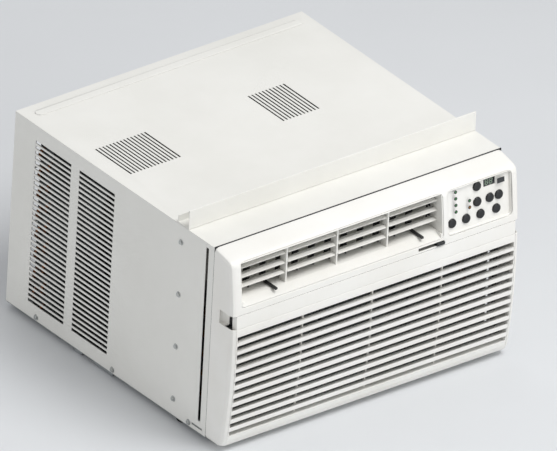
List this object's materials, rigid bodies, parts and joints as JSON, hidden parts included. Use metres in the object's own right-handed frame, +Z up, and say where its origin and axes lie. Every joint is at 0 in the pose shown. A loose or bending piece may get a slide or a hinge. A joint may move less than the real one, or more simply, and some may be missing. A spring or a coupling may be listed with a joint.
{
  "type": "window air conditioner",
  "caption": "Window air conditioner with louvred steel cabinet, sash rail, tilting intake grille, air outlet with blades and vanes, and button control panel.",
  "frame": {"origin": "on the surface that the feet stand on, under the middle of the whole object", "axes": "+Z up, the front with the grille faces -Y, +X to the right of someone facing the front"},
  "size_m": [0.6, 0.6001, 0.409],
  "materials": {
    "painted_steel": "satin",
    "zinc_steel": "satin",
    "white_plastic": "satin",
    "dark_plastic": "satin",
    "display": "gloss",
    "rubber": "matte",
    "aluminium": "satin",
    "copper": "satin",
    "black_steel": "satin",
    "foam": "matte",
    "board": "matte",
    "filter_net": "matte"
  },
  "bodies": {
    "root": {"cabinet_shell": "painted_steel", "base_pan": "zinc_steel", "rear_guard": "painted_steel", "top_rail": "painted_steel", "foot_front_left": "rubber", "foot_front_right": "rubber", "foot_rear_left": "rubber", "foot_rear_right": "rubber", "front_panel": "white_plastic", "cord_gland": "rubber", "outlet_frame": "white_plastic", "control_fascia": "white_plastic", "display_window": "display", "circuit_board": "board", "control_box": "zinc_steel", "capacitor": "aluminium", "evaporator_coil": "aluminium", "blower_housing": "foam", "bulkhead": "zinc_steel", "fan_motor": "black_steel", "motor_bracket": "zinc_steel", "fan_shroud": "zinc_steel", "condenser_coil": "aluminium", "compressor": "black_steel", "accumulator": "black_steel", "suction_pipe": "copper", "discharge_pipe": "copper", "capillary_tube": "copper"},
    "grille": {"intake_grille": "white_plastic", "air_filter": "filter_net"},
    "louvre_1": {"louvre_blade_1": "white_plastic"},
    "louvre_2": {"louvre_blade_2": "white_plastic"},
    "louvre_3": {"louvre_blade_3": "white_plastic"},
    "louvre_bar": {"louvre_link": "dark_plastic"},
    "vane_1": {"air_vane_1": "dark_plastic"},
    "vane_2": {"air_vane_2": "dark_plastic"},
    "vane_3": {"air_vane_3": "dark_plastic"},
    "vane_4": {"air_vane_4": "dark_plastic"},
    "vane_5": {"air_vane_5": "dark_plastic"},
    "vane_6": {"air_vane_6": "dark_plastic"},
    "vane_7": {"air_vane_7": "dark_plastic"},
    "vane_8": {"air_vane_8": "dark_plastic"},
    "vane_9": {"air_vane_9": "dark_plastic"},
    "vane_10": {"air_vane_10": "dark_plastic"},
    "vane_11": {"air_vane_11": "dark_plastic"},
    "vane_bar_left": {"vane_link_left": "dark_plastic"},
    "vane_bar_right": {"vane_link_right": "dark_plastic"},
    "vent_slider": {"vent_lever": "dark_plastic"},
    "vent_flap": {"vent_door": "dark_plastic"},
    "timer_button_cap": {"timer_button": "dark_plastic"},
    "mode_button_cap": {"mode_button": "dark_plastic"},
    "temperature_up_button_cap": {"temperature_up_button": "dark_plastic"},
    "sleep_button_cap": {"sleep_button": "dark_plastic"},
    "power_button_cap": {"power_button": "dark_plastic"},
    "fan_speed_button_cap": {"fan_speed_button": "dark_plastic"},
    "energy_saver_button_cap": {"energy_saver_button": "dark_plastic"},
    "temperature_down_button_cap": {"temperature_down_button": "dark_plastic"},
    "rotor": {"fan_shaft": "zinc_steel", "blower_wheel": "dark_plastic", "condenser_fan": "dark_plastic"}
  },
  "joints": [
    {"name": "grille_tilt", "type": "hinge", "parent": "root", "child": "grille", "pos_m": [0, -0.28713, 0.0214], "axis": [1, 0, 0], "range_deg": [0, 40]},
    {"name": "louvre_1_tilt", "type": "hinge", "parent": "root", "child": "louvre_1", "pos_m": [-0.07, -0.27015, 0.343], "axis": [1, 0, 0], "range_deg": [-30, 30]},
    {"name": "louvre_2_tilt", "type": "hinge", "parent": "root", "child": "louvre_2", "pos_m": [-0.07, -0.27015, 0.3243], "axis": [1, 0, 0], "range_deg": [-30, 30]},
    {"name": "louvre_3_tilt", "type": "hinge", "parent": "root", "child": "louvre_3", "pos_m": [-0.07, -0.27015, 0.3056], "axis": [1, 0, 0], "range_deg": [-30, 30]},
    {"name": "louvre_bar_slide", "type": "slide", "parent": "root", "child": "louvre_bar", "axis": [0, 0, 1], "range_m": [-0.0066, 0.0066]},
    {"name": "vane_1_swing", "type": "hinge", "parent": "root", "child": "vane_1", "pos_m": [-0.24, -0.25015, 0.317], "axis": [0, 0, 1], "range_deg": [-30, 30]},
    {"name": "vane_2_swing", "type": "hinge", "parent": "root", "child": "vane_2", "pos_m": [-0.206, -0.25015, 0.317], "axis": [0, 0, 1], "range_deg": [-30, 30]},
    {"name": "vane_3_swing", "type": "hinge", "parent": "root", "child": "vane_3", "pos_m": [-0.172, -0.25015, 0.317], "axis": [0, 0, 1], "range_deg": [-30, 30]},
    {"name": "vane_4_swing", "type": "hinge", "parent": "root", "child": "vane_4", "pos_m": [-0.138, -0.25015, 0.317], "axis": [0, 0, 1], "range_deg": [-30, 30]},
    {"name": "vane_5_swing", "type": "hinge", "parent": "root", "child": "vane_5", "pos_m": [-0.104, -0.25015, 0.317], "axis": [0, 0, 1], "range_deg": [-30, 30]},
    {"name": "vane_6_swing", "type": "hinge", "parent": "root", "child": "vane_6", "pos_m": [-0.07, -0.25015, 0.317], "axis": [0, 0, 1], "range_deg": [-30, 30]},
    {"name": "vane_7_swing", "type": "hinge", "parent": "root", "child": "vane_7", "pos_m": [-0.036, -0.25015, 0.317], "axis": [0, 0, 1], "range_deg": [-30, 30]},
    {"name": "vane_8_swing", "type": "hinge", "parent": "root", "child": "vane_8", "pos_m": [-0.002, -0.25015, 0.317], "axis": [0, 0, 1], "range_deg": [-30, 30]},
    {"name": "vane_9_swing", "type": "hinge", "parent": "root", "child": "vane_9", "pos_m": [0.032, -0.25015, 0.317], "axis": [0, 0, 1], "range_deg": [-30, 30]},
    {"name": "vane_10_swing", "type": "hinge", "parent": "root", "child": "vane_10", "pos_m": [0.066, -0.25015, 0.317], "axis": [0, 0, 1], "range_deg": [-30, 30]},
    {"name": "vane_11_swing", "type": "hinge", "parent": "root", "child": "vane_11", "pos_m": [0.1, -0.25015, 0.317], "axis": [0, 0, 1], "range_deg": [-30, 30]},
    {"name": "vane_bar_left_slide", "type": "slide", "parent": "root", "child": "vane_bar_left", "axis": [1, 0, 0], "range_m": [-0.0044, 0.0044]},
    {"name": "vane_bar_right_slide", "type": "slide", "parent": "root", "child": "vane_bar_right", "axis": [1, 0, 0], "range_m": [-0.0044, 0.0044]},
    {"name": "vent_slide", "type": "slide", "parent": "root", "child": "vent_slider", "axis": [-1, 0, 0], "range_m": [0, 0.034]},
    {"name": "vent_flap_swing", "type": "hinge", "parent": "root", "child": "vent_flap", "pos_m": [0.084, -0.055, 0.23], "axis": [0, 0, -1], "range_deg": [0, 50]},
    {"name": "timer_button_press", "type": "slide", "parent": "root", "child": "timer_button_cap", "axis": [0, 0.9934, -0.1146], "range_m": [0, 0.0012], "stiffness_N_per_m": 500},
    {"name": "mode_button_press", "type": "slide", "parent": "root", "child": "mode_button_cap", "axis": [0, 0.9934, -0.1146], "range_m": [0, 0.0012], "stiffness_N_per_m": 500},
    {"name": "temperature_up_button_press", "type": "slide", "parent": "root", "child": "temperature_up_button_cap", "axis": [0, 0.9934, -0.1146], "range_m": [0, 0.0012], "stiffness_N_per_m": 500},
    {"name": "sleep_button_press", "type": "slide", "parent": "root", "child": "sleep_button_cap", "axis": [0, 0.9934, -0.1146], "range_m": [0, 0.0012], "stiffness_N_per_m": 500},
    {"name": "power_button_press", "type": "slide", "parent": "root", "child": "power_button_cap", "axis": [0, 0.9934, -0.1146], "range_m": [0, 0.0012], "stiffness_N_per_m": 500},
    {"name": "fan_speed_button_press", "type": "slide", "parent": "root", "child": "fan_speed_button_cap", "axis": [0, 0.9934, -0.1146], "range_m": [0, 0.0012], "stiffness_N_per_m": 500},
    {"name": "energy_saver_button_press", "type": "slide", "parent": "root", "child": "energy_saver_button_cap", "axis": [0, 0.9934, -0.1146], "range_m": [0, 0.0012], "stiffness_N_per_m": 500},
    {"name": "temperature_down_button_press", "type": "slide", "parent": "root", "child": "temperature_down_button_cap", "axis": [0, 0.9934, -0.1146], "range_m": [0, 0.0012], "stiffness_N_per_m": 500},
    {"name": "rotor_spin", "type": "hinge", "parent": "root", "child": "rotor", "pos_m": [-0.07, 0, 0.172], "axis": [0, 1, 0], "continuous": true}
  ],
  "couplings": [
    {"joint": "louvre_2_tilt", "follows": "louvre_1_tilt", "ratio": 1},
    {"joint": "louvre_3_tilt", "follows": "louvre_1_tilt", "ratio": 1},
    {"joint": "louvre_bar_slide", "follows": "louvre_1_tilt", "m_per_rad": 0.012},
    {"joint": "vane_1_swing", "follows": "vane_2_swing", "ratio": 1},
    {"joint": "vane_3_swing", "follows": "vane_2_swing", "ratio": 1},
    {"joint": "vane_4_swing", "follows": "vane_2_swing", "ratio": 1},
    {"joint": "vane_5_swing", "follows": "vane_2_swing", "ratio": 1},
    {"joint": "vane_bar_left_slide", "follows": "vane_2_swing", "m_per_rad": 0.008},
    {"joint": "vane_6_swing", "follows": "vane_11_swing", "ratio": 1},
    {"joint": "vane_7_swing", "follows": "vane_11_swing", "ratio": 1},
    {"joint": "vane_8_swing", "follows": "vane_11_swing", "ratio": 1},
    {"joint": "vane_9_swing", "follows": "vane_11_swing", "ratio": 1},
    {"joint": "vane_10_swing", "follows": "vane_11_swing", "ratio": 1},
    {"joint": "vane_bar_right_slide", "follows": "vane_11_swing", "m_per_rad": 0.008},
    {"joint": "vent_flap_swing", "follows": "vent_slide", "rad_per_m": 25}
  ]
}
